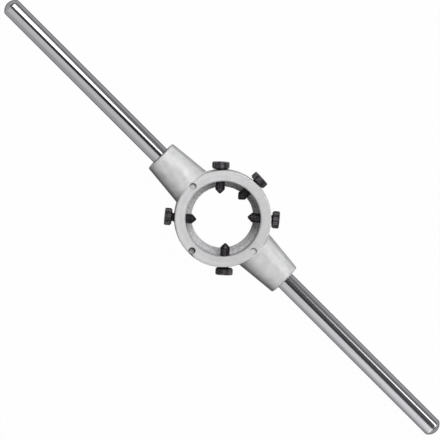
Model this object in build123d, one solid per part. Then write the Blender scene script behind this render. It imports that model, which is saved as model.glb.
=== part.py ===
from build123d import *
import os
from math import asin, cos, radians, sin, sqrt, tan

os.makedirs("parts", exist_ok=True)

# A hand stock for round threading dies of 38 mm, in millimetres.
# The origin is the point where the axis of the die bore meets the flat back face of the ring.
# +Z points out of the bore's mouth, and +X along the right-hand handle.

# Ring
die_diameter = 38.0
die_height = 14.0
die_clearance = 0.05
shoulder_height = 7.0
shoulder_ledge = 3.35
ring_wall = 5.3
ring_draft = 1.5
ring_edge_radius = 0.6
mouth_chamfer = 0.55
hole_chamfer = 0.4

# Bosses that carry the handles
boss_root_diameter = 21.3
boss_end_diameter = 17.4
boss_reach = 20.0
boss_edge_radius = 0.8

# Handles
handle_diameter = 9.6
handle_length = 109.1
handle_dome = 2.7
dome_edge_radius = 1.3
handle_edge_chamfer = 0.3
spigot_diameter = 8.0
spigot_length = 16.0
spigot_chamfer = 0.8
spigot_clearance = 0.05
spigot_drill_room = 2.0
drill_point_angle = 118.0

# Clamp screws
screw_diameter = 5.0
screw_clearance = 0.05
shank_length = 12.4
point_angle = 90.0
point_shoulder_radius = 1.6
nose_diameter = 0.8
head_diameter = 8.8
head_height = 3.7
head_chamfer = 0.45
seat_chamfer = 0.75
knurl_count = 30
knurl_depth = 0.22
socket_across_flats = 4.0
socket_depth = 2.2
screw_lean = 5.0
# Angle round the ring, and gap between the head and the ring.
screw_places = {
    "spreading_screw": (92.2, 0.3),
    "closing_screw_right": (44.3, 0.35),
    "closing_screw_left": (138.0, 0.4),
    "holding_screw_left": (224.1, 1.2),
    "holding_screw_right": (317.4, 0.4),
}

# Ejector marks on the front face of the ring
mark_diameter = 3.7
mark_circle_diameter = 44.8
# Angle round the ring, depth at the centre, draft of the wall and slope of the floor, down towards +Y.
ejector_marks = {
    "left": (177.7, 1.3, 25.0, 2.0),
    "front": (270.7, 3.0, 10.0, 0.0),
    "right": (-1.8, 0.8, 20.0, 2.0),
    "back": (93.4, 0.15, 20.0, 0.0),
}

bore_radius = die_diameter / 2 + die_clearance
work_hole_radius = bore_radius - shoulder_ledge
ring_height = shoulder_height + die_height
mid_height = ring_height / 2
face_radius = bore_radius + ring_wall
waist_radius = face_radius + mid_height * tan(radians(ring_draft))
boss_end = face_radius + boss_reach
handle_end = boss_end + handle_length
screw_height = shoulder_height + die_height / 2


def turned(points, axis):
    """A solid of revolution from its half section."""
    return revolve(make_face(Plane.XZ * Polyline(*points, close=True)), axis)


def blank():
    """The ring as a disc with drafted rim and rounded edges, before its bore is cut."""
    rim = [(0, 0), (face_radius, 0), (waist_radius, mid_height), (face_radius, ring_height)]
    disc = turned(rim + [(0, ring_height)], Axis.Z)
    edges = disc.edges().filter_by(GeomType.CIRCLE)
    faces = [e for e in edges if abs(e.center().Z - mid_height) > mid_height / 2]
    return fillet(faces, ring_edge_radius)


def boss():
    """A round tapered boss along +X, cut flat where it would stand proud of the ring's faces."""
    slope = (boss_root_diameter - boss_end_diameter) / 2 / boss_reach
    start = bore_radius
    start_radius = boss_root_diameter / 2 + (face_radius - start) * slope
    end_radius = boss_end_diameter / 2
    cone = turned([(start, 0), (start, start_radius), (boss_end, end_radius), (boss_end, 0)], Axis.X)
    rim = cone.edges().filter_by(GeomType.CIRCLE).sort_by(Axis.X)[-1]
    cone = Pos(0, 0, mid_height) * fillet(rim, boss_edge_radius)
    width = 2 * start_radius
    slab = Pos((start + boss_end) / 2, 0, mid_height) * Box(boss_end - start, width, ring_height)
    return cone & slab


def spigot_hole():
    """The blind hole for a handle's spigot, with its drill point."""
    radius = spigot_diameter / 2 + spigot_clearance
    bottom = boss_end - spigot_length - spigot_drill_room
    point = radius / tan(radians(drill_point_angle / 2))
    section = [(bottom - point, 0), (bottom, radius), (boss_end, radius), (boss_end, 0)]
    return Pos(0, 0, mid_height) * turned(section, Axis.X)


def screw_location(name):
    """The seat of a screw: its origin on the ring's rim, its +Z along the screw, away from the bore."""
    angle, _ = screw_places[name]
    wall_middle = (bore_radius + face_radius) / 2
    direction = angle - screw_lean
    foot = Vector(wall_middle, 0, 0).rotate(Axis.Z, angle)
    outward = Vector(1, 0, 0).rotate(Axis.Z, direction)
    # The rim is met where the screw's line reaches the rim's radius at the screw's height.
    rim = face_radius + (ring_height - screw_height) * tan(radians(ring_draft))
    along = foot.dot(outward)
    to_rim = sqrt(rim**2 - foot.length**2 + along**2) - along
    seat = foot + outward * to_rim + Vector(0, 0, screw_height)
    return Location(Plane(origin=seat, x_dir=(0, 0, 1), z_dir=outward))


def mark_tool(depth, draft):
    """The space of an ejector mark over its floor: a cone with the mark's diameter at the face of the ring."""
    widening = tan(radians(draft))
    floor_radius = mark_diameter / 2 - depth * widening
    top_radius = floor_radius + mark_diameter * widening
    return Pos(0, 0, mark_diameter / 2) * Cone(floor_radius, top_radius, mark_diameter)


def stock_body():
    """The casting: ring, two bosses, die bore with its shoulder, and the holes for screws and spigots."""
    body = blank() + boss() + boss().rotate(Axis.Z, 180)
    bore = [
        (0, shoulder_height),
        (bore_radius, shoulder_height),
        (bore_radius, ring_height - mouth_chamfer),
        (bore_radius + mouth_chamfer, ring_height),
        (0, ring_height),
    ]
    work_hole = [
        (0, 0),
        (work_hole_radius + hole_chamfer, 0),
        (work_hole_radius, hole_chamfer),
        (work_hole_radius, shoulder_height),
        (0, shoulder_height),
    ]
    body = body - turned(bore, Axis.Z) - turned(work_hole, Axis.Z)
    body = body - spigot_hole() - spigot_hole().rotate(Axis.Z, 180)
    reach = 2 * ring_wall
    for name in screw_places:
        hole = Cylinder(screw_diameter / 2 + screw_clearance, 2 * reach)
        body -= screw_location(name) * hole
    for angle, depth, draft, slope in ejector_marks.values():
        place = Vector(mark_circle_diameter / 2, 0, ring_height - depth).rotate(Axis.Z, angle)
        body -= Pos(*place) * Rot(-slope, 0, 0) * mark_tool(depth, draft)
    return body


def handle():
    """A round steel rod along +X with a domed and rounded end, and a spigot that stands in the boss."""
    rod, spigot = handle_diameter / 2, spigot_diameter / 2
    start = boss_end - spigot_length
    dome_start = handle_end - handle_dome
    dome_radius = (rod**2 + handle_dome**2) / (2 * handle_dome)
    half = asin(rod / dome_radius) / 2
    dome_middle = (handle_end - dome_radius * (1 - cos(half)), dome_radius * sin(half))
    outline = Polyline(
        (handle_end, 0),
        (start, 0),
        (start, spigot - spigot_chamfer),
        (start + spigot_chamfer, spigot),
        (boss_end, spigot),
        (boss_end, rod - handle_edge_chamfer),
        (boss_end + handle_edge_chamfer, rod),
        (dome_start, rod),
    )
    dome = ThreePointArc((dome_start, rod), dome_middle, (handle_end, 0))
    rod_solid = revolve(make_face(Plane.XZ * Wire([*outline.edges(), dome])), Axis.X)
    rims = rod_solid.edges().filter_by(GeomType.CIRCLE)
    dome_edge = min(rims, key=lambda rim: abs(rim.center().X - dome_start))
    return Pos(0, 0, mid_height) * fillet(dome_edge, dome_edge_radius)


def knurled_head():
    """A cylindrical head with straight knurling, a chamfer at each end and a hexagon socket."""
    tip, root = head_diameter / 2, head_diameter / 2 - knurl_depth
    half_pitch = 180.0 / knurl_count
    teeth = [
        Vector(tip if k % 2 == 0 else root, 0).rotate(Axis.Z, k * half_pitch)
        for k in range(2 * knurl_count)
    ]
    prism = extrude(make_face(Polyline(*teeth, close=True)), head_height)
    barrel = [
        (0, 0),
        (tip - seat_chamfer, 0),
        (tip, seat_chamfer),
        (tip, head_height - head_chamfer),
        (tip - head_chamfer, head_height),
        (0, head_height),
    ]
    flats = RegularPolygon(socket_across_flats / 2, 6, major_radius=False)
    socket = Pos(0, 0, head_height) * extrude(flats, -socket_depth)
    return (prism & turned(barrel, Axis.Z)) - socket


def clamp_screw():
    """A screw along +Z with the underside of its head at the origin and its point below."""
    shank, nose = screw_diameter / 2, nose_diameter / 2
    point = (shank - nose) / tan(radians(point_angle / 2))
    section = [
        (0, -shank_length),
        (nose, -shank_length),
        (shank, point - shank_length),
        (shank, 0),
        (0, 0),
    ]
    pin = turned(section, Axis.Z)
    point_shoulder = pin.edges().filter_by(GeomType.CIRCLE).sort_by(Axis.Z)[1]
    return fillet(point_shoulder, point_shoulder_radius) + knurled_head()


def write(node, solid):
    solid.label = node
    export_step(solid, f"parts/{node}.step")


write("stock_body", stock_body())
write("handle_right", handle())
write("handle_left", handle().rotate(Axis.Z, 180))
screw = clamp_screw()
for name, (_, head_gap) in screw_places.items():
    write(name, screw_location(name) * Pos(0, 0, head_gap) * screw)
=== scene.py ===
"""Dresses the die stock, on a pale studio floor: a cast body, two plated handles and five black clamp screws.

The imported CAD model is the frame. Lengths are in metres, with the bore axis along +Z and the handles along X.
"""

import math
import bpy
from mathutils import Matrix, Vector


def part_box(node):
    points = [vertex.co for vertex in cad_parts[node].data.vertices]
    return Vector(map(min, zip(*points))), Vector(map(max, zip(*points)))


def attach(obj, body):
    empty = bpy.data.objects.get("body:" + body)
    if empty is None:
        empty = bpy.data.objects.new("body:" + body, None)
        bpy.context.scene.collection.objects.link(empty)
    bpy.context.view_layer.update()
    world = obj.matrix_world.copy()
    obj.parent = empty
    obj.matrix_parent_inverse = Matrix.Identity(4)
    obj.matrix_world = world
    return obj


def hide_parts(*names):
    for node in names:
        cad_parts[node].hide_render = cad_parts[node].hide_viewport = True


bl_info = {
    "name": "Die Stock",
    "version": (1, 0, 0),
    "blender": (4, 5, 0),
    "location": "View3D > Sidebar > Die Stock",
    "description": "Surfaces, finishes and studio of a hand stock for round threading dies",
    "category": "Object",
}

import bpy
import numpy as np
from bpy.props import FloatProperty, FloatVectorProperty, IntProperty, PointerProperty
from bpy.types import Operator, Panel, PropertyGroup
from mathutils import Matrix, Vector

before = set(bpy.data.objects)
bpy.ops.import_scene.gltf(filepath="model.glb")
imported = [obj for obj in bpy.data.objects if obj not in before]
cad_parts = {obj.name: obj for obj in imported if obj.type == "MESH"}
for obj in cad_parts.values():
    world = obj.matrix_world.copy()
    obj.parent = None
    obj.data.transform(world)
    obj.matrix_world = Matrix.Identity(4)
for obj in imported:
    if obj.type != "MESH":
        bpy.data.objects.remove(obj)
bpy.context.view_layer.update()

MM = 0.001
TURN = 2 * math.pi
WHITE = (1.0, 1.0, 1.0, 1.0)
FLOAT, VECTOR = "NodeSocketFloat", "NodeSocketVector"

BODY_LOW, BODY_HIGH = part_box("stock_body")
ROD_LOW, ROD_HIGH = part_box("handle_right")

# Sizes of the stock body: its bore, its ring at the front face, and its bosses at the ring and at their ends.
BORE_RADIUS = 19.05 * MM
FACE_RADIUS = 24.35 * MM
BOSS_ROOT_RADIUS = 10.65 * MM
BOSS_END_RADIUS = 8.7 * MM
BOSS_TAPER = (BOSS_ROOT_RADIUS - BOSS_END_RADIUS) / (BODY_HIGH.x - FACE_RADIUS)

# Ejector marks on the front face of the ring: their angles in degrees and the radius of their circle.
MARK_ANGLES = (177.7, 270.7, -1.8, 93.4)
MARK_CIRCLE = 22.4 * MM

# Angle of each clamp screw round the ring, in degrees, the gap between its head and the rim, and the number
# of knurl teeth by which its pattern of wear and painted glints is turned.
SCREW_PLACES = {
    "spreading_screw": (92.2, 0.3 * MM, 28),
    "closing_screw_right": (44.3, 0.35 * MM, 1),
    "closing_screw_left": (138.0, 0.4 * MM, 3),
    "holding_screw_left": (224.1, 1.2 * MM, 25),
    "holding_screw_right": (317.4, 0.4 * MM, 16),
}

# Points of a screw's rings on each knurl tooth, and rings on each turn of its thread.
COLUMNS_PER_TOOTH = 6
RINGS_PER_TURN = 12

# Room that a node takes in a node editor, and the number of nodes in a row.
NODE_WIDTH, NODE_HEIGHT, NODES_IN_ROW = 220, 260, 9


# Properties


class StockBodyProperties(PropertyGroup):
    alloy_colour: FloatVectorProperty(
        name="Alloy colour",
        description="Colour of the cast alloy",
        subtype="COLOR",
        size=3,
        min=0.0,
        max=1.0,
        default=(0.64, 0.64, 0.645),
    )
    turned_colour: FloatVectorProperty(
        name="Turned colour",
        description="Colour of the faces that were turned on the lathe",
        subtype="COLOR",
        size=3,
        min=0.0,
        max=1.0,
        default=(0.64, 0.635, 0.645),
    )
    handling_colour: FloatVectorProperty(
        name="Handling colour",
        description="Colour of the faint greyed spots on the turned faces",
        subtype="COLOR",
        size=3,
        min=0.0,
        max=1.0,
        default=(0.2, 0.2, 0.2),
    )
    stain_colour: FloatVectorProperty(
        name="Stain colour",
        description="Colour of the speckled stains in the bore",
        subtype="COLOR",
        size=3,
        min=0.0,
        max=1.0,
        default=(0.2, 0.19, 0.2),
    )
    # Painted shade: this colour is painted into the ejector marks and the rim's chip for their shadow.
    mark_shade_colour: FloatVectorProperty(
        name="Residue colour",
        description="Colour of the casting residue in the ejector marks",
        subtype="COLOR",
        size=3,
        min=0.0,
        max=1.0,
        default=(0.06, 0.055, 0.055),
    )
    cast_roughness: FloatProperty(
        name="Cast roughness",
        description="Roughness of the blasted casting skin",
        min=0.0,
        max=1.0,
        default=0.43,
    )
    turned_roughness: FloatProperty(
        name="Turned roughness",
        description="Roughness of the turned faces",
        min=0.0,
        max=1.0,
        default=0.46,
    )
    grain_size: FloatProperty(
        name="Grain size",
        description="Size of the grains of the blasted skin",
        unit="LENGTH",
        min=0.00005,
        max=0.01,
        default=0.45 * MM,
    )
    turning_pitch: FloatProperty(
        name="Turning pitch",
        description="Distance between the marks of the lathe tool",
        unit="LENGTH",
        min=0.00002,
        max=0.01,
        default=0.35 * MM,
    )


class HandleProperties(PropertyGroup):
    rod_diameter: FloatProperty(
        name="Rod diameter",
        description="Diameter of a handle",
        unit="LENGTH",
        min=0.001,
        default=ROD_HIGH.z - ROD_LOW.z,
    )
    rod_start: FloatProperty(
        name="Rod start",
        description="Distance from the bore axis to the end of the boss, where the bare rod starts",
        unit="LENGTH",
        min=0.001,
        default=BODY_HIGH.x,
    )
    rod_end: FloatProperty(
        name="Rod end",
        description="Distance from the bore axis to the outer end of a handle",
        unit="LENGTH",
        min=0.001,
        default=ROD_HIGH.x,
    )
    dome_height: FloatProperty(
        name="Dome height",
        description="Height of the domed outer end",
        unit="LENGTH",
        min=0.0001,
        default=2.7 * MM,
    )
    dome_edge_radius: FloatProperty(
        name="Dome edge radius",
        description="Radius of the rounded edge between the rod and its dome",
        unit="LENGTH",
        min=0.0001,
        default=1.3 * MM,
    )
    spigot_diameter: FloatProperty(
        name="Spigot diameter",
        description="Diameter of the end that stands in the boss",
        unit="LENGTH",
        min=0.001,
        default=8.0 * MM,
    )
    plating_colour: FloatVectorProperty(
        name="Plating colour",
        description="Colour of the bright plating",
        subtype="COLOR",
        size=3,
        min=0.0,
        max=1.0,
        default=(0.34, 0.335, 0.35),
    )
    plating_pit_colour: FloatVectorProperty(
        name="Plating pit colour",
        description="Colour of the small pits in the plating",
        subtype="COLOR",
        size=3,
        min=0.0,
        max=1.0,
        default=(0.12, 0.12, 0.13),
    )
    plating_roughness: FloatProperty(
        name="Plating roughness",
        description="Roughness of the bright plating",
        min=0.0,
        max=1.0,
        default=0.09,
    )


class ClampScrewProperties(PropertyGroup):
    thread_diameter: FloatProperty(
        name="Thread diameter",
        description="Outside diameter of the thread",
        unit="LENGTH",
        min=0.001,
        default=5.0 * MM,
    )
    thread_pitch: FloatProperty(
        name="Thread pitch",
        description="Distance from one turn of the thread to the next",
        unit="LENGTH",
        min=0.0001,
        default=0.8 * MM,
    )
    shank_length: FloatProperty(
        name="Shank length",
        description="Length from the underside of the head to the point",
        unit="LENGTH",
        min=0.001,
        default=12.4 * MM,
    )
    thread_depth: FloatProperty(
        name="Thread depth",
        description="Depth of the thread between its crests",
        unit="LENGTH",
        min=0.0,
        default=0.18 * MM,
    )
    nose_diameter: FloatProperty(
        name="Nose diameter",
        description="Diameter of the rounded nose at the point",
        unit="LENGTH",
        min=0.0001,
        default=0.8 * MM,
    )
    point_shoulder_radius: FloatProperty(
        name="Point shoulder radius",
        description="Radius of the rounded shoulder between the point's cone and the shank",
        unit="LENGTH",
        min=0.0,
        default=1.6 * MM,
    )
    head_diameter: FloatProperty(
        name="Head diameter",
        description="Diameter over the knurling",
        unit="LENGTH",
        min=0.001,
        default=8.8 * MM,
    )
    head_height: FloatProperty(
        name="Head height",
        description="Height of the head",
        unit="LENGTH",
        min=0.001,
        default=3.7 * MM,
    )
    head_chamfer: FloatProperty(
        name="Head chamfer",
        description="Chamfer at the outer end of the head",
        unit="LENGTH",
        min=0.0,
        default=0.45 * MM,
    )
    seat_chamfer: FloatProperty(
        name="Seat chamfer",
        description="Chamfer under the head, towards the ring",
        unit="LENGTH",
        min=0.0,
        default=0.75 * MM,
    )
    knurl_count: IntProperty(
        name="Knurl teeth",
        description="Number of teeth round the head",
        min=8,
        max=90,
        default=30,
    )
    knurl_depth: FloatProperty(
        name="Knurl depth",
        description="Depth of the grooves between the teeth",
        unit="LENGTH",
        min=0.0,
        default=0.22 * MM,
    )
    socket_width: FloatProperty(
        name="Socket width",
        description="Width of the hexagon socket across its flats",
        unit="LENGTH",
        min=0.0005,
        default=4.0 * MM,
    )
    socket_depth: FloatProperty(
        name="Socket depth",
        description="Depth of the hexagon socket",
        unit="LENGTH",
        min=0.0001,
        default=2.2 * MM,
    )
    lean: FloatProperty(
        name="Lean",
        description="Angle between each screw and the line to the bore axis",
        subtype="ANGLE",
        default=math.radians(5.0),
    )
    wall_middle: FloatProperty(
        name="Wall middle",
        description="Radius of the middle of the ring's wall, through which every screw's axis runs",
        unit="LENGTH",
        min=0.001,
        default=21.7 * MM,
    )
    rim_radius: FloatProperty(
        name="Rim radius",
        description="Radius of the ring's rim at the height of the screws",
        unit="LENGTH",
        min=0.001,
        default=24.5333 * MM,
    )
    axis_height: FloatProperty(
        name="Axis height",
        description="Height of the screws' axes over the back face of the ring",
        unit="LENGTH",
        min=0.001,
        default=14.0 * MM,
    )
    oxide_colour: FloatVectorProperty(
        name="Oxide colour",
        description="Colour of the black oxide finish",
        subtype="COLOR",
        size=3,
        min=0.0,
        max=1.0,
        default=(0.009, 0.0075, 0.009),
    )
    # Painted highlight: besides real wear, this lighter colour paints the glints and sheen of the screws.
    worn_and_glint_colour: FloatVectorProperty(
        name="Worn colour",
        description="Colour of the edges where the oxide is rubbed thin",
        subtype="COLOR",
        size=3,
        min=0.0,
        max=1.0,
        default=(0.2, 0.18, 0.2),
    )


class StudioProperties(PropertyGroup):
    floor_colour: FloatVectorProperty(
        name="Floor colour",
        description="Colour of the floor",
        subtype="COLOR",
        size=3,
        min=0.0,
        max=1.0,
        default=(0.3, 0.3, 0.3),
    )
    background_share: FloatProperty(
        name="Background share",
        description="Share of plain white in the floor as the camera sees it; the rest shows the shadow",
        subtype="FACTOR",
        min=0.0,
        max=1.0,
        default=0.985,
    )
    ambient_light: FloatProperty(
        name="Ambient light",
        description="Strength of the even light from all round",
        min=0.0,
        default=0.12,
    )
    camera_distance: FloatProperty(
        name="Camera distance",
        description="Distance from the camera to the middle of the object",
        unit="LENGTH",
        min=0.1,
        default=3.0,
    )
    camera_right: FloatProperty(
        name="Camera lean right",
        description="Angle of the camera from the vertical, towards the right of the picture",
        subtype="ANGLE",
        default=math.radians(-1.372),
    )
    camera_up: FloatProperty(
        name="Camera lean up",
        description="Angle of the camera from the vertical, towards the top of the picture",
        subtype="ANGLE",
        default=math.radians(3.522),
    )
    camera_roll: FloatProperty(
        name="Camera roll",
        description="Turn of the camera about its line of sight",
        subtype="ANGLE",
        default=math.radians(0.045),
    )
    camera_lens: FloatProperty(
        name="Camera lens",
        description="Focal length in millimetres for a sensor 36 mm wide",
        min=10.0,
        default=485.6,
    )


# Meshes


def revolved_rings(radius, height, columns):
    """Points of a surface of revolution: ring i has radius[i] at height[i].

    A radius is a number, or one for each column.
    x = r cos(a), y = r sin(a), z = h, with the angle a going once round in equal steps.
    """
    angle = np.arange(columns) * TURN / columns
    r = np.broadcast_to(np.asarray(radius, float).reshape(len(height), -1), (len(height), columns))
    z = np.broadcast_to(np.asarray(height, float)[:, None], r.shape)
    return np.stack([r * np.cos(angle), r * np.sin(angle), z], axis=-1)


def skin_mesh(name, rings, first_pole, last_pole, wear):
    """A closed mesh from rings of points: each ring is joined to the next, and the end rings to a pole.

    The rings run downwards and their points anticlockwise, so every face looks outwards. Wear is a number for
    each point, and 0 at the poles.
    """
    rows, columns, _ = rings.shape
    points = np.concatenate([rings.reshape(-1, 3), [first_pole, last_pole]])
    index = np.arange(rows * columns).reshape(rows, columns)
    after = np.roll(index, -1, axis=1)
    quads = np.stack([index[:-1], index[1:], after[1:], after[:-1]], axis=-1).reshape(-1, 4)
    first, last = rows * columns, rows * columns + 1
    cap_top = np.stack([np.full(columns, first), index[0], after[0]], axis=-1)
    cap_end = np.stack([np.full(columns, last), after[-1], index[-1]], axis=-1)
    mesh = bpy.data.meshes.new(name)
    mesh.from_pydata(points.tolist(), [], quads.tolist() + cap_top.tolist() + cap_end.tolist())
    # On the screws the wear also holds painted glints and sheen.
    layer = mesh.attributes.new("wear", "FLOAT", "POINT")
    layer.data.foreach_set("value", np.concatenate([wear.ravel(), [0.0, 0.0]]).astype(np.float32))
    mesh.shade_smooth()
    mesh.update()
    return mesh


def arc(centre, radius, start, end, count):
    """Points of a circular arc, as rows of (across, along): centre + radius (cos t, sin t)."""
    t = np.linspace(start, end, count)
    return np.column_stack([centre[0] + radius * np.cos(t), centre[1] + radius * np.sin(t)])


def new_object(name, data):
    """A new object in the scene, at the origin."""
    made = bpy.data.objects.new(name, data)
    bpy.context.scene.collection.objects.link(made)
    return made


def new_piece(name, mesh, material, body, node):
    """Puts a mesh into the scene as a piece that rides on a body and stands for a CAD node."""
    piece = new_object(name, mesh)
    mesh.materials.append(material)
    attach(piece, body)
    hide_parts(node)


def handle_profile(p):
    """Radius and distance from the bore axis down one handle: dome, rounded edge, rod and spigot.

    The dome is an arc through the rod's end point, and a smaller arc touches the dome and the rod's side.
    """
    rod, spigot = p.rod_diameter / 2, p.spigot_diameter / 2
    edge = p.dome_edge_radius
    dome = (rod**2 + p.dome_height**2) / (2 * p.dome_height)
    dome_centre = p.rod_end - dome
    # The edge arc's centre lies edge inside the rod's side and dome - edge from the dome's centre.
    edge_along = dome_centre + math.sqrt((dome - edge) ** 2 - (rod - edge) ** 2)
    meet = math.atan2(edge_along - dome_centre, rod - edge)
    rod_chamfer, spigot_chamfer = 0.3 * MM, 0.8 * MM
    last_station = p.rod_start + 3 * MM
    shoulder = [
        (rod, last_station),
        (rod, p.rod_start + rod_chamfer),
        (rod - rod_chamfer, p.rod_start),
        (spigot, p.rod_start),
        (spigot, ROD_LOW.x + spigot_chamfer),
        (spigot - spigot_chamfer, ROD_LOW.x),
    ]
    stations = np.linspace(edge_along, last_station, 24)[1:-1]
    return np.concatenate(
        [
            arc((0, dome_centre), dome, math.pi / 2 - 0.02, meet, 18),
            arc((rod - edge, edge_along), edge, meet, 0.0, 10)[1:],
            np.column_stack([np.full(len(stations), rod), stations]),
            shoulder,
        ]
    )


def handle_mesh(name, p, side):
    """The handle's skin along +X or -X: the profile turned once round the rod's axis.

    It is rubbed at its domed end.
    """
    profile = handle_profile(p)
    along = profile[:, 1]
    rings = revolved_rings(profile[:, 0], along, columns=160)
    axis_height = (ROD_LOW.z + ROD_HIGH.z) / 2
    place = np.array([(0, 0, side), (0, side, 0), (-1, 0, 0)], float)
    place[:, 1] = np.cross(place[:, 2], place[:, 0])
    rings = rings @ place.T + (0, 0, axis_height)
    ends = np.array([(0, 0, p.rod_end), (0, 0, ROD_LOW.x)]) @ place.T + (0, 0, axis_height)
    rubbed_length = 4 * MM
    wear = np.exp(-((p.rod_end - along) / rubbed_length) ** 2)
    wear = np.repeat(wear[:, None], rings.shape[1], axis=1)
    mesh = skin_mesh(name, rings, ends[0], ends[1], wear)
    mesh.set_sharp_from_angle(angle=math.radians(35))
    return mesh


def hexagon(width, angle):
    """Distance from the centre to a hexagon's side in the direction of angle.

    It is half the width over the cosine of the angle to the middle of the side.
    """
    sector = TURN / 6
    return width / 2 / np.cos((angle + sector / 2) % sector - sector / 2)


def knurl_groove(angle, count):
    """How deep a straight knurl is cut, from 0 on the flat of a tooth to 1 in the V of a groove."""
    phase = np.abs((angle * count / TURN) % 1.0 - 0.5) * 2.0
    return np.clip((phase - 0.22) / 0.78, 0.0, 1.0)


def thread_groove(angle, height, pitch):
    """How deep a thread is cut, from 0 on its crest to 1 at its root: a V with flats, one turn a pitch."""
    phase = np.abs((height / pitch + angle / TURN) % 1.0 - 0.5) * 2.0
    return np.clip((phase - 0.3) / 0.5, 0.0, 1.0)


def point_radius(above, p):
    """Radius of a screw's point at a distance above its tip: nose, 90 degree cone and rounded shoulder.

    The shoulder is an arc that touches the cone r = nose + h and the shank's side, so its centre lies at a
    height of (shank - radius) - nose + radius sqrt 2. The nose is a quarter of an ellipse.
    """
    shank, nose, shoulder = p.thread_diameter / 2, p.nose_diameter / 2, p.point_shoulder_radius
    centre = shank - shoulder - nose + shoulder * math.sqrt(2)
    cone = nose + above
    arc_part = shank - shoulder + np.sqrt(np.maximum(shoulder**2 - (centre - above) ** 2, 0.0))
    radius = np.where(above < centre - shoulder / math.sqrt(2), cone, arc_part)
    radius = np.where(above > centre, shank, radius)
    tip = 2 * nose * np.sqrt(np.clip(above / nose * (2 - above / nose), 0.0, 1.0))
    return np.where(above < nose, np.minimum(tip, radius), radius)


def socket_rings(p, angle):
    """Radius, height and wear of the socket's rings, from the dip in its floor up to its mouth.

    The radius is the larger of the hexagon and the cone of the mouth.
    """
    top = p.head_height
    floor = top - p.socket_depth
    sides = hexagon(p.socket_width, angle)
    # The mouth is a little wider than the hexagon's corners.
    mouth, slope = 1.19 * p.socket_width / 2, 1.2
    for share, dip in ((0.35, 0.25 * MM), (0.8, 0.02 * MM), (1.0, 0.0)):
        yield share * sides, floor - dip, 0.0
    for height in np.linspace(floor, top, 9)[1:]:
        cone = mouth - slope * (top - height)
        yield np.maximum(sides, cone), height, 0.5 * (height == top)
    yield mouth + 0.15 * MM, top, 0.15


def head_rings(p, angle, tooth_rub_glint):
    """Radius, height and wear of the head's rings, from its top down to its underside.

    The radius is the smaller of the chamfered barrel and the knurling. The teeth are rubbed, most of all at
    the chamfers, and their rubbed colour also paints the heads' sheen.
    """
    head, seat = p.head_diameter / 2, p.seat_chamfer
    top, shoulder = p.head_height, p.head_height - p.head_chamfer
    groove = knurl_groove(angle, p.knurl_count)
    knurl = head - p.knurl_depth * groove
    yield head - p.head_chamfer - 0.2 * MM, top, 0.15
    outer = np.linspace(top, shoulder, 6)
    side = np.linspace(shoulder, seat, 14)[1:]
    under = np.linspace(seat, 0.0, 7)[1:]
    for height in np.concatenate([outer, side, under]):
        barrel = head - max(0.0, height - shoulder, seat - height)
        edge = min(abs(height - shoulder), abs(height - seat))
        # Rubbed teeth and edges; the rubbed colour also paints the heads' sheen.
        rub_glint = (1 - groove) * (tooth_rub_glint + 0.4 * (edge < 0.1 * MM))
        yield np.minimum(barrel, knurl), height, rub_glint * (height > 0.4 * seat)


def shank_rings(p, angle, tooth_rub_glint, turn_rub):
    """Radius, height and wear of the shank's rings: the neck under the head, the thread and the point.

    The radius is the smaller of the thread and the point. The thread rises out of the neck and fades out
    in the point. It is rubbed along its crests, more on some turns, and painted highlights run in a few
    streaks down the shank, with painted glints on the point.
    """
    crest = p.thread_diameter / 2
    neck = crest - 0.35 * MM
    neck_end, neck_taper = 0.7 * MM, 0.25 * MM
    yield neck + neck_taper, 0.0, 0.0
    yield neck, -neck_taper, 0.0
    point_height = crest + (math.sqrt(2) - 1) * p.point_shoulder_radius
    count = int(round((p.shank_length - neck_end) / p.thread_pitch * RINGS_PER_TURN))
    for height in -np.linspace(neck_end, p.shank_length - 0.02 * MM, count):
        above = height + p.shank_length
        lead_in = min(1.0, (-height - neck_end) / (0.5 * MM))
        fade = np.clip((above - 0.75 * point_height) / (0.8 * MM), 0.0, 1.0)
        groove = thread_groove(angle, height, p.thread_pitch)
        thread = crest - p.thread_depth * groove * fade
        thread = neck + (thread - neck) * lead_in
        if above > point_height:
            # Rubbed crests, with a few streaks of painted highlight down the shank.
            rub_glint = (1 - groove) * (0.2 * turn_rub[int(-height / p.thread_pitch)] + 0.7 * tooth_rub_glint**4)
        else:
            # Painted glints on the point.
            rub_glint = 0.7 * tooth_rub_glint**6 * (above < 0.8 * point_height)
        yield np.minimum(thread, float(point_radius(above, p))), height, rub_glint


def screw_rings(p):
    """Rings of a clamp screw and their wear, from the socket's floor over the head and down to the point.

    In each ring the radius is a function of the angle, and so is the wear, which also holds painted glints.
    """
    columns = COLUMNS_PER_TOOTH * p.knurl_count
    angle = np.arange(columns) * TURN / columns
    draw = np.random.default_rng(5)
    tooth_rub_glint = np.repeat(draw.uniform(0.1, 1.0, p.knurl_count), COLUMNS_PER_TOOTH)
    turn_rub = draw.uniform(0.1, 1.0, math.ceil(p.shank_length / p.thread_pitch))
    rows = [*socket_rings(p, angle), *head_rings(p, angle, tooth_rub_glint)]
    rows += shank_rings(p, angle, tooth_rub_glint, turn_rub)
    radii = np.array([np.broadcast_to(radius, angle.shape) for radius, _, _ in rows])
    wear = np.array([np.broadcast_to(rub_glint, angle.shape) for _, _, rub_glint in rows])
    return revolved_rings(radii, [height for _, height, _ in rows], columns), wear


def screw_placement(p, angle, gap):
    """Rotation and origin of a screw: its +Z points away from the bore, with its head a gap off the rim."""
    foot = Vector((math.cos(angle), math.sin(angle), 0)) * p.wall_middle
    outward = Vector((math.cos(angle - p.lean), math.sin(angle - p.lean), 0))
    along = foot.dot(outward)
    to_rim = math.sqrt(p.rim_radius**2 - foot.length_squared + along**2) - along
    seat = foot + outward * (to_rim + gap) + Vector((0, 0, p.axis_height))
    first = Vector((0, 0, 1))
    rotation = np.array([first, outward.cross(first), outward]).T
    return rotation, np.array(seat)


# Nodes


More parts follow.
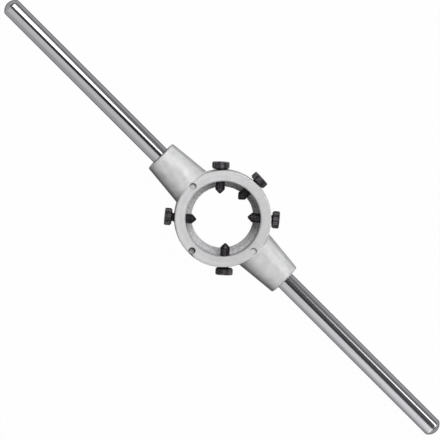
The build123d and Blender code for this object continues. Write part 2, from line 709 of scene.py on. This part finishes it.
def add_node(tree, kind, inputs=None, **settings):
    """A new node with its settings, and with a value or a link for each named or numbered input."""
    row, column = divmod(len(tree.nodes), NODES_IN_ROW)
    made = tree.nodes.new(kind)
    made.location = (NODE_WIDTH * column, -NODE_HEIGHT * row)
    for key, value in settings.items():
        setattr(made, key, value)
    for key, value in (inputs or {}).items():
        if isinstance(value, bpy.types.NodeSocket):
            tree.links.new(value, made.inputs[key])
        else:
            made.inputs[key].default_value = value
    return made


def math_node(tree, operation, *values):
    """The output of a Math node for one, two or three values or sockets."""
    return add_node(tree, "ShaderNodeMath", dict(enumerate(values)), operation=operation).outputs[0]


def product(tree, first, *others):
    """The product of a socket and other values or sockets."""
    for other in others:
        first = math_node(tree, "MULTIPLY", first, other)
    return first


def vector_node(tree, operation, first, second):
    """The output of a Vector Math node: a number for a distance or a dot product, and otherwise a vector."""
    made = add_node(tree, "ShaderNodeVectorMath", {0: first, 1: second}, operation=operation)
    return made.outputs["Value" if operation in ("DISTANCE", "DOT_PRODUCT") else "Vector"]


def between(tree, value, low, high, out_low=0.0, out_high=1.0):
    """The output of a smooth Map Range node."""
    inputs = {"Value": value, "From Min": low, "From Max": high, "To Min": out_low, "To Max": out_high}
    return add_node(tree, "ShaderNodeMapRange", inputs, interpolation_type="SMOOTHSTEP").outputs["Result"]


def mixed(tree, factor, first, second):
    """The output of a Mix node for colours of three parts or sockets."""
    inputs = {"Factor": factor}
    # Inputs 6 and 7 of the node are its two colours, and output 2 is the mixed one.
    for number, value in ((6, first), (7, second)):
        inputs[number] = value if isinstance(value, bpy.types.NodeSocket) else (*value, 1.0)
    return add_node(tree, "ShaderNodeMix", inputs, data_type="RGBA").outputs[2]


def mixed_value(tree, factor, first, second):
    """The output of a Mix node for plain values or sockets."""
    # Inputs 2 and 3 of the node are its two values, and output 0 is the mixed one.
    inputs = {"Factor": factor, 2: first, 3: second}
    return add_node(tree, "ShaderNodeMix", inputs, data_type="FLOAT").outputs[0]


def noise(tree, place, scale, detail, roughness=0.5):
    """The value of a Noise Texture node."""
    inputs = {"Vector": place, "Scale": scale, "Detail": detail, "Roughness": roughness}
    return add_node(tree, "ShaderNodeTexNoise", inputs).outputs["Fac"]


def round_axis(tree, place):
    """X, Y and Z of a place, and its distance from the Z axis."""
    x, y, z = add_node(tree, "ShaderNodeSeparateXYZ", {0: place}).outputs
    squares = math_node(tree, "MULTIPLY_ADD", x, x, product(tree, y, y))
    return x, y, z, math_node(tree, "SQRT", squares)


def darker(colour, share):
    """A colour with each part times a share."""
    return [share * part for part in colour]


# Shader groups


def shader_group(name, inputs, outputs):
    """An empty node group with its sockets, and its input and output nodes."""
    group = bpy.data.node_groups.new(name, "ShaderNodeTree")
    for socket, kind, value in inputs:
        made = group.interface.new_socket(socket, in_out="INPUT", socket_type=kind)
        if value is not None:
            made.default_value = value
    for socket, kind in outputs:
        group.interface.new_socket(socket, in_out="OUTPUT", socket_type=kind)
    return group, group.nodes.new("NodeGroupInput"), group.nodes.new("NodeGroupOutput")


def use_group(tree, build, inputs):
    """A node of the group that a build function makes, once for all materials."""
    name = build.__name__
    group = bpy.data.node_groups.get(name) or build(name)
    return add_node(tree, "ShaderNodeGroup", inputs, node_tree=group)


def blasted_grain(name):
    """Blasted skin: fine grains over soft waves, with a few small pits."""
    group, given, result = shader_group(
        name,
        [("Vector", VECTOR, None), ("Grain", FLOAT, 0.5 * MM), ("Pits", FLOAT, 0.5)],
        [("Height", FLOAT), ("Tone", FLOAT), ("Pit mask", FLOAT)],
    )
    place = given.outputs["Vector"]
    grains_in_wave, grains_in_cell = 9.0, 4.0
    scale = math_node(group, "DIVIDE", 1.0, given.outputs["Grain"])
    wave_scale = math_node(group, "DIVIDE", scale, grains_in_wave)
    cell_scale = math_node(group, "DIVIDE", scale, grains_in_cell)
    fine = noise(group, place, scale, 3.0)
    broad = noise(group, place, wave_scale, 2.0)
    cells = add_node(group, "ShaderNodeTexVoronoi", {"Vector": place, "Scale": cell_scale})
    near = between(group, cells.outputs["Distance"], 0.2, 0.08)
    chosen = between(group, noise(group, place, wave_scale, 0.0), 0.56, 0.62)
    pits = product(group, near, chosen, given.outputs["Pits"])
    height = math_node(group, "SUBTRACT", math_node(group, "MULTIPLY_ADD", broad, 0.8, fine), pits)
    tone = math_node(group, "DIVIDE", math_node(group, "MULTIPLY_ADD", fine, 0.5, broad), 1.5)
    group.links.new(height, result.inputs["Height"])
    group.links.new(tone, result.inputs["Tone"])
    group.links.new(pits, result.inputs["Pit mask"])
    return group


def turning_marks(name):
    """Marks of a lathe tool: rings round the Z axis that follow the distance from it and the height."""
    group, given, result = shader_group(
        name,
        [("Vector", VECTOR, None), ("Pitch", FLOAT, 0.3 * MM)],
        [("Height", FLOAT), ("Tone", FLOAT)],
    )
    x, y, z, radius = round_axis(group, given.outputs["Vector"])
    station = math_node(group, "DIVIDE", math_node(group, "ADD", radius, z), given.outputs["Pitch"])
    turn = math_node(group, "ARCTAN2", y, x)
    sine, cosine = math_node(group, "SINE", turn), math_node(group, "COSINE", turn)
    place = add_node(group, "ShaderNodeCombineXYZ", {"X": station, "Y": sine, "Z": cosine}).outputs[0]
    group.links.new(noise(group, place, 1.0, 4.0, 0.65), result.inputs["Height"])
    group.links.new(noise(group, place, 0.35, 2.0), result.inputs["Tone"])
    return group


def drawn_streaks(name):
    """Fine lines drawn along one axis, which the Stretch vector gives by its small component."""
    group, given, result = shader_group(
        name,
        [("Vector", VECTOR, None), ("Stretch", VECTOR, (0.02, 1.0, 1.0)), ("Width", FLOAT, 0.2 * MM)],
        [("Height", FLOAT), ("Tone", FLOAT)],
    )
    place = vector_node(group, "MULTIPLY", given.outputs["Vector"], given.outputs["Stretch"])
    lines_in_band = 6.0
    scale = math_node(group, "DIVIDE", 1.0, given.outputs["Width"])
    band_scale = math_node(group, "DIVIDE", scale, lines_in_band)
    group.links.new(noise(group, place, scale, 5.0, 0.7), result.inputs["Height"])
    group.links.new(noise(group, place, band_scale, 2.0), result.inputs["Tone"])
    return group


# Materials


def new_material(name):
    """A material, its tree, its Principled BSDF and its Object coordinates."""
    material = bpy.data.materials.new(name)
    material.use_nodes = True
    tree = material.node_tree
    place = add_node(tree, "ShaderNodeTexCoord").outputs["Object"]
    return material, tree, tree.nodes["Principled BSDF"], place


def set_values(shader, values):
    """Gives sockets of a shader their plain values."""
    for name, value in values.items():
        shader.inputs[name].default_value = value


def link_finish(tree, shader, colour, roughness, height, depth, strength):
    """Links a colour and a roughness to the shader, and a height that is bumped up to a depth."""
    bump = add_node(tree, "ShaderNodeBump", {"Strength": strength, "Distance": depth, "Height": height})
    tree.links.new(colour, shader.inputs["Base Color"])
    tree.links.new(roughness, shader.inputs["Roughness"])
    tree.links.new(bump.outputs["Normal"], shader.inputs["Normal"])


def painted_mark_shade(tree, place, height, radius):
    """Painted shade in the ejector marks, and in a chip of the rim beside the front one.

    It lies between the bore and the rim, darkens with depth, and is darkest by the walls on the shadow side.
    """
    # The middles are shifted, so that the painted shade is darkest by the walls on the shadow side.
    shift_x, shift_y = 0.3 * MM, -0.45 * MM
    face = BODY_HIGH.z
    level = vector_node(tree, "MULTIPLY", place, (1.0, 1.0, 0.0))
    nearest = None
    for angle in MARK_ANGLES:
        turn = math.radians(angle)
        middle = (MARK_CIRCLE * math.cos(turn) + shift_x, MARK_CIRCLE * math.sin(turn) + shift_y, 0.0)
        gap = vector_node(tree, "DISTANCE", level, middle)
        nearest = gap if nearest is None else math_node(tree, "MINIMUM", nearest, gap)
    in_mark = between(tree, nearest, 2.6 * MM, 2.5 * MM)
    inside_rim = between(tree, radius, FACE_RADIUS - 0.05 * MM, FACE_RADIUS - 0.1 * MM)
    over_floor = between(tree, height, face - 3.6 * MM, face - 3.5 * MM)
    by_wall = between(tree, nearest, 0.9 * MM, 2.0 * MM, 0.25, 1.0)
    sunk = between(tree, height, face - 0.05 * MM, face - 1.5 * MM, 0.0, 0.92)
    shade_in_marks = product(tree, in_mark, inside_rim, over_floor, by_wall, sunk)
    # The chip is long round the rim and up it, so X and Z are squeezed before its distance is measured.
    squeezed = vector_node(tree, "MULTIPLY", place, (0.2, 1.0, 0.4))
    from_chip = vector_node(tree, "DISTANCE", squeezed, (0.36 * MM, -24.05 * MM, 8.3 * MM))
    return math_node(tree, "MAXIMUM", shade_in_marks, between(tree, from_chip, 0.5 * MM, 0.35 * MM, 0.0, 0.9))


def painted_flank_shade(tree, x, y, radius):
    """Painted shade on the flanks of the bosses, darker towards their edges, where the light falls off.

    It follows the distance from the handles' axis as a share of the boss's radius, which tapers outwards.
    """
    out = math_node(tree, "ABSOLUTE", x)
    across = math_node(tree, "ABSOLUTE", y)
    axis_radius = BOSS_ROOT_RADIUS + BOSS_TAPER * FACE_RADIUS
    boss_radius = math_node(tree, "MULTIPLY_ADD", out, -BOSS_TAPER, axis_radius)
    share = math_node(tree, "DIVIDE", across, boss_radius)
    steep = between(tree, share, 0.78, 0.99, 0.0, 0.48)
    return product(tree, steep, between(tree, radius, FACE_RADIUS + 0.25 * MM, FACE_RADIUS + 1.25 * MM))


def body_material(p):
    """Cast alloy, blasted outside and turned on its front and back faces and in its bore."""
    material, tree, shader, place = new_material("cast_alloy")
    x, y, height, radius = round_axis(tree, place)
    face, back = BODY_HIGH.z, BODY_LOW.z
    in_front = between(tree, height, face - 0.1 * MM, face - 0.03 * MM)
    at_back = between(tree, height, back + 0.1 * MM, back + 0.03 * MM)
    in_bore = between(tree, radius, BORE_RADIUS + 0.4 * MM, BORE_RADIUS + 0.25 * MM)
    turned = math_node(tree, "MAXIMUM", math_node(tree, "MAXIMUM", in_front, at_back), in_bore)
    deep = product(tree, in_bore, between(tree, height, face - 0.2 * MM, face - 0.8 * MM))

    grain = use_group(tree, blasted_grain, {"Vector": place, "Grain": p.grain_size, "Pits": 1.0})
    tone, pits = grain.outputs["Tone"], grain.outputs["Pit mask"]
    alloy = p.alloy_colour
    cast = mixed(tree, between(tree, tone, 0.3, 0.7), darker(alloy, 0.8), alloy)
    cast = mixed(tree, product(tree, pits, 0.6), cast, darker(alloy, 0.35))
    # Painted shade darkens the flanks of the bosses.
    cast = mixed(tree, painted_flank_shade(tree, x, y, radius), cast, darker(alloy, 0.2))
    cast_rough = between(tree, tone, 0.2, 0.8, p.cast_roughness - 0.05, p.cast_roughness + 0.07)

    marks = use_group(tree, turning_marks, {"Vector": place, "Pitch": p.turning_pitch})
    lines = marks.outputs["Tone"]
    bright = p.turned_colour
    lathe = mixed(tree, between(tree, lines, 0.3, 0.7), darker(bright, 0.86), bright)
    lathe = mixed(tree, product(tree, pits, 0.35), lathe, darker(bright, 0.5))
    lathe = mixed(tree, between(tree, tone, 0.35, 0.65, 0.12, 0.0), lathe, p.handling_colour)
    turned_rough = between(tree, lines, 0.2, 0.8, p.turned_roughness - 0.06, p.turned_roughness + 0.06)

    # The bore has wider bands than the faces, and speckled stains.
    bands = use_group(tree, turning_marks, {"Vector": place, "Pitch": 2.2 * p.turning_pitch})
    banded = mixed(tree, between(tree, bands.outputs["Tone"], 0.4, 0.6), darker(bright, 0.78), bright)
    speckle = use_group(tree, blasted_grain, {"Vector": place, "Grain": 0.11 * MM, "Pits": 0.0})
    stained = between(tree, speckle.outputs["Tone"], 0.42, 0.58, 0.42, 0.0)
    bored = mixed(tree, deep, lathe, banded)
    bored = mixed(tree, product(tree, deep, stained), bored, p.stain_colour)

    colour = mixed(tree, turned, cast, bored)
    # Painted shade in the ejector marks and in the rim's chip.
    colour = mixed(tree, painted_mark_shade(tree, place, height, radius), colour, p.mark_shade_colour)
    rough = mixed_value(tree, turned, cast_rough, turned_rough)
    relief = mixed_value(tree, turned, grain.outputs["Height"], marks.outputs["Height"])
    link_finish(tree, shader, colour, rough, relief, depth=0.05 * MM, strength=0.35)
    tint = (0.2, 0.2, 0.2, 1.0)
    set_values(shader, {"Metallic": 0.13, "Specular IOR Level": 0.0, "Specular Tint": tint})
    return material


def plating_material(p):
    """Bright plating over a ground rod, with fine lines along it and a dulled, rubbed end."""
    material, tree, shader, place = new_material("bright_plating")
    streak_sizes = {"Stretch": (0.012, 1.0, 1.0), "Width": 0.16 * MM}
    streaks = use_group(tree, drawn_streaks, {"Vector": place, **streak_sizes})
    grain = use_group(tree, blasted_grain, {"Vector": place, "Grain": 0.8 * MM, "Pits": 1.0})
    worn = add_node(tree, "ShaderNodeAttribute", attribute_name="wear").outputs["Fac"]
    tone, bright = streaks.outputs["Tone"], p.plating_colour
    colour = mixed(tree, between(tree, tone, 0.3, 0.65), darker(bright, 0.86), bright)
    colour = mixed(tree, product(tree, grain.outputs["Pit mask"], 0.5), colour, p.plating_pit_colour)
    rough = between(tree, tone, 0.35, 0.75, p.plating_roughness - 0.03, p.plating_roughness + 0.05)
    rough = math_node(tree, "MULTIPLY_ADD", worn, 0.08, rough)
    relief = streaks.outputs["Height"]
    link_finish(tree, shader, colour, rough, relief, depth=0.004 * MM, strength=0.25)
    set_values(shader, {"Metallic": 1.0, "Specular Tint": (0.25, 0.25, 0.27, 1.0)})
    return material


def oxide_material(p):
    """Black oxide on steel, rubbed bright on the knurl's teeth, the thread's crests and the edges.

    The rubbed colour is also painted glints and sheen, on the heads, down the shanks and on the points.
    """
    material, tree, shader, place = new_material("black_oxide")
    grain = use_group(tree, blasted_grain, {"Vector": place, "Grain": 0.35 * MM, "Pits": 0.6})
    tone = grain.outputs["Tone"]
    worn = add_node(tree, "ShaderNodeAttribute", attribute_name="wear").outputs["Fac"]
    # Partly real rubbing, partly painted glints and sheen.
    patchy_rub_glint = product(tree, worn, between(tree, tone, 0.35, 0.65))
    colour = mixed(tree, patchy_rub_glint, p.oxide_colour, p.worn_and_glint_colour)
    rough = between(tree, tone, 0.2, 0.8, 0.2, 0.34)
    link_finish(tree, shader, colour, rough, grain.outputs["Height"], depth=0.03 * MM, strength=0.3)
    tree.links.new(product(tree, patchy_rub_glint, 0.6), shader.inputs["Metallic"])
    set_values(shader, {"Specular IOR Level": 0.16})
    return material


# Operators and panel


class DIESTOCK_OT_finish_body(Operator):
    """Gives the stock body its cast and turned finish"""

    bl_idname = "die_stock.finish_body"
    bl_label = "Finish Stock Body"

    def execute(self, context):
        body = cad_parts["stock_body"]
        material = body_material(context.scene.die_stock_body)
        for slot in body.material_slots:
            slot.material = material
        return {"FINISHED"}


class DIESTOCK_OT_add_handles(Operator):
    """Builds the two plated handles"""

    bl_idname = "die_stock.add_handles"
    bl_label = "Add Handles"

    def execute(self, context):
        p = context.scene.die_stock_handle
        material = plating_material(p)
        for node, side in (("handle_right", 1), ("handle_left", -1)):
            name = "plated_" + node
            new_piece(name, handle_mesh(name, p, side), material, "stock", node)
        return {"FINISHED"}


class DIESTOCK_OT_add_screws(Operator):
    """Builds the five black clamp screws, with their knurled heads, hexagon sockets and threads"""

    bl_idname = "die_stock.add_screws"
    bl_label = "Add Clamp Screws"

    def execute(self, context):
        p = context.scene.die_stock_screw
        material = oxide_material(p)
        rings, wear = screw_rings(p)
        socket_dip = p.head_height - p.socket_depth - 0.4 * MM
        poles = np.array([(0, 0, socket_dip), (0, 0, -p.shank_length)])
        for node, (angle, gap, teeth) in SCREW_PLACES.items():
            rotation, origin = screw_placement(p, math.radians(angle), gap)
            name = "black_" + node
            ends = poles @ rotation.T + origin
            # Each screw's pattern of wear and painted glints is turned by its own number of teeth.
            turned_wear_and_glint = np.roll(wear, COLUMNS_PER_TOOTH * teeth, axis=1)
            mesh = skin_mesh(name, rings @ rotation.T + origin, ends[0], ends[1], turned_wear_and_glint)
            mesh.set_sharp_from_angle(angle=math.radians(38))
            new_piece(name, mesh, material, node + "_body", node)
        return {"FINISHED"}


def card(name, corners, level, rise=(0.0, 0.0, 0.0)):
    """A flat studio card that only mirrors see.

    Its brightness is level, plus rise for each metre along y and z and, on the right of the object, along x.
    """
    mesh = bpy.data.meshes.new(name)
    mesh.from_pydata(corners, [], [tuple(range(len(corners)))])
    material, tree, shader, place = new_material(name)
    tree.nodes.remove(shader)
    # Left of the bore axis x counts as 0. The other two limits lie outside the room.
    least = (0.0, -9.0, -9.0)
    slope = vector_node(tree, "DOT_PRODUCT", vector_node(tree, "MAXIMUM", place, least), rise)
    brightness = math_node(tree, "MAXIMUM", math_node(tree, "ADD", slope, level), 0.0)
    glow = add_node(tree, "ShaderNodeEmission", {"Color": WHITE, "Strength": brightness})
    tree.links.new(glow.outputs[0], tree.nodes["Material Output"].inputs["Surface"])
    mesh.materials.append(material)
    made = new_object(name, mesh)
    made.visible_camera = False
    made.visible_diffuse = False


def soft_lamp(name, place, size, power, mirrored=True):
    """A rectangular lamp at a place, turned to the middle of the object, and seen in mirrors or not."""
    light = bpy.data.lights.new(name, "AREA")
    light.shape = "RECTANGLE"
    light.size, light.size_y = size
    light.energy = power
    lamp = new_object(name, light)
    middle = Vector((0, 0, 10 * MM))
    look = (Vector(place) - middle).to_track_quat("Z", "Y").to_matrix().to_4x4()
    lamp.matrix_world = Matrix.Translation(place) @ look
    lamp.visible_camera = False
    lamp.visible_glossy = mirrored


def background_factor(tree):
    """1 for camera, glossy and transmission rays, which see the pale background, and 0 for the rest."""
    rays = add_node(tree, "ShaderNodeLightPath")
    seen = math_node(tree, "MAXIMUM", rays.outputs["Is Camera Ray"], rays.outputs["Is Glossy Ray"])
    return math_node(tree, "MAXIMUM", seen, rays.outputs["Is Transmission Ray"])


class DIESTOCK_OT_set_studio(Operator):
    """Sets up the floor, the background, the lamps and the camera"""

    bl_idname = "die_stock.set_studio"
    bl_label = "Set Up Studio"

    def execute(self, context):
        p = context.scene.die_stock_studio
        self.add_floor(p)
        self.set_world(context, p)
        self.add_room()
        self.add_lamps()
        self.add_camera(context, p)
        context.scene.view_settings.view_transform = "Standard"
        return {"FINISHED"}

    def add_floor(self, p):
        half, low = 3.0, -0.2 * MM
        mesh = bpy.data.meshes.new("studio_floor")
        corners = [(-half, -half, low), (half, -half, low), (half, half, low), (-half, half, low)]
        mesh.from_pydata(corners, [], [(0, 1, 2, 3)])
        material, tree, shader, _ = new_material("pale_floor")
        colour = (*p.floor_colour, 1.0)
        set_values(shader, {"Base Color": colour, "Roughness": 0.9, "Specular IOR Level": 0.0})
        white = add_node(tree, "ShaderNodeEmission", {"Color": WHITE, "Strength": 1.0})
        share = product(tree, background_factor(tree), p.background_share)
        mix = add_node(tree, "ShaderNodeMixShader", {0: share, 1: shader.outputs[0], 2: white.outputs[0]})
        tree.links.new(mix.outputs[0], tree.nodes["Material Output"].inputs["Surface"])
        mesh.materials.append(material)
        new_object("studio_floor", mesh)

    def set_world(self, context, p):
        world = bpy.data.worlds.new("studio_world")
        context.scene.world = world
        world.use_nodes = True
        tree = world.node_tree
        surface = tree.nodes["Background"]
        strength = between(tree, background_factor(tree), 0.0, 1.0, p.ambient_light, 1.0)
        surface.inputs["Color"].default_value = WHITE
        tree.links.new(strength, surface.inputs["Strength"])

    def add_room(self):
        # A grey room, with its sides and ceiling dark over the object and pale on the side of the lower left.
        top, side, end = 1.15, 1.3, 1.6
        # The dark part of the ceiling reaches less far on the left of the bore axis than on its right.
        left_edge, right_edge = -0.17, -0.3
        step = [(end, right_edge), (0.0, right_edge), (0.0, left_edge)]
        dark = [(-end, left_edge), (-end, side), (end, side), *step]
        pale = [(-end, -side), (-end, left_edge), *reversed(step), (end, -side)]

        def wall(x0, y0, x1, y1):
            return [(x0, y0, 0.0), (x1, y1, 0.0), (x1, y1, top), (x0, y0, top)]

        card("ceiling_card", [(x, y, top) for x, y in dark], 0.08, (0.4, 0.0, 0.0))
        card("side_card", wall(-end, side, end, side), 0.45)
        card("pale_ceiling", [(x, y, top) for x, y in pale], 1.5, (1.8, 0.15, 0.0))
        card("pale_side", wall(-end, -side, end, -side), 0.85, (2.0, 0.0, 0.5))
        for name, x in (("left_end", -end), ("right_end", end)):
            card(name, wall(x, left_edge, x, side), 0.3)
            card("pale_" + name, wall(x, -side, x, left_edge), 1.0)

    def add_lamps(self):
        # Two cards draw lines along the right handle: one that brightens towards its end, and a thin one.
        strip = [(0.1, 0.475, 0.545), (0.1, 0.60, 0.43), (0.7, 0.60, 0.43), (0.7, 0.475, 0.545)]
        card("strip_card", strip, -3.1, (34.0, 0.0, 0.0))
        thin = [(0.0, 0.42, 1.14), (0.0, 0.46, 1.14), (0.7, 0.46, 1.14), (0.7, 0.42, 1.14)]
        card("thin_card", thin, 0.8)
        soft_lamp("left_key_lamp", (-0.24, 0.355, 0.515), (0.5, 0.42), 2.75)
        soft_lamp("right_key_lamp", (0.66, 0.45, 0.5), (0.5, 0.5), 1.55)
        soft_lamp("overhead_lamp", (0.05, 0.36, 0.8), (0.7, 0.4), 3.3, mirrored=False)

    def add_camera(self, context, p):
        # The picture's right and up, seen from above, and the point in its middle.
        right = Vector((1, 1, 0)).normalized()
        up = Vector((-1, 1, 0)).normalized()
        aim_right, aim_up, aim_height = -1.3 * MM, -1.08 * MM, 10.5 * MM
        aim = right * aim_right + up * aim_up + Vector((0, 0, aim_height))
        back = Vector((0, 0, 1)) + right * math.tan(p.camera_right) + up * math.tan(p.camera_up)
        back.normalize()
        across = up.cross(back).normalized()
        turned = Matrix((across, back.cross(across), back)).transposed()
        turned = turned @ Matrix.Rotation(p.camera_roll, 3, "Z")
        lens = bpy.data.cameras.new("studio_camera")
        lens.sensor_width = 36.0
        lens.lens = p.camera_lens
        lens.clip_start, lens.clip_end = 0.05, 20.0
        camera = new_object("studio_camera", lens)
        camera.matrix_world = Matrix.Translation(aim + back * p.camera_distance) @ turned.to_4x4()
        context.scene.camera = camera


class DIESTOCK_PT_sidebar(Panel):
    """Lists the pieces of the die stock and its studio"""

    bl_idname = "DIESTOCK_PT_sidebar"
    bl_label = "Die Stock"
    bl_space_type = "VIEW_3D"
    bl_region_type = "UI"
    bl_category = "Die Stock"

    def draw(self, context):
        scene = context.scene
        for group, operator in (
            (scene.die_stock_body, DIESTOCK_OT_finish_body),
            (scene.die_stock_handle, DIESTOCK_OT_add_handles),
            (scene.die_stock_screw, DIESTOCK_OT_add_screws),
            (scene.die_stock_studio, DIESTOCK_OT_set_studio),
        ):
            box = self.layout.box()
            for name in group.__annotations__:
                box.prop(group, name)
            box.operator(operator.bl_idname)


CLASSES = (
    StockBodyProperties,
    HandleProperties,
    ClampScrewProperties,
    StudioProperties,
    DIESTOCK_OT_finish_body,
    DIESTOCK_OT_add_handles,
    DIESTOCK_OT_add_screws,
    DIESTOCK_OT_set_studio,
    DIESTOCK_PT_sidebar,
)


def register():
    for cls in CLASSES:
        bpy.utils.register_class(cls)
    bpy.types.Scene.die_stock_body = PointerProperty(type=StockBodyProperties)
    bpy.types.Scene.die_stock_handle = PointerProperty(type=HandleProperties)
    bpy.types.Scene.die_stock_screw = PointerProperty(type=ClampScrewProperties)
    bpy.types.Scene.die_stock_studio = PointerProperty(type=StudioProperties)


def unregister():
    del bpy.types.Scene.die_stock_studio
    del bpy.types.Scene.die_stock_screw
    del bpy.types.Scene.die_stock_handle
    del bpy.types.Scene.die_stock_body
    for cls in reversed(CLASSES):
        bpy.utils.unregister_class(cls)


def main():
    register()
    bpy.ops.die_stock.finish_body()
    bpy.ops.die_stock.add_handles()
    bpy.ops.die_stock.add_screws()
    bpy.ops.die_stock.set_studio()


if __name__ == "__main__":
    main()
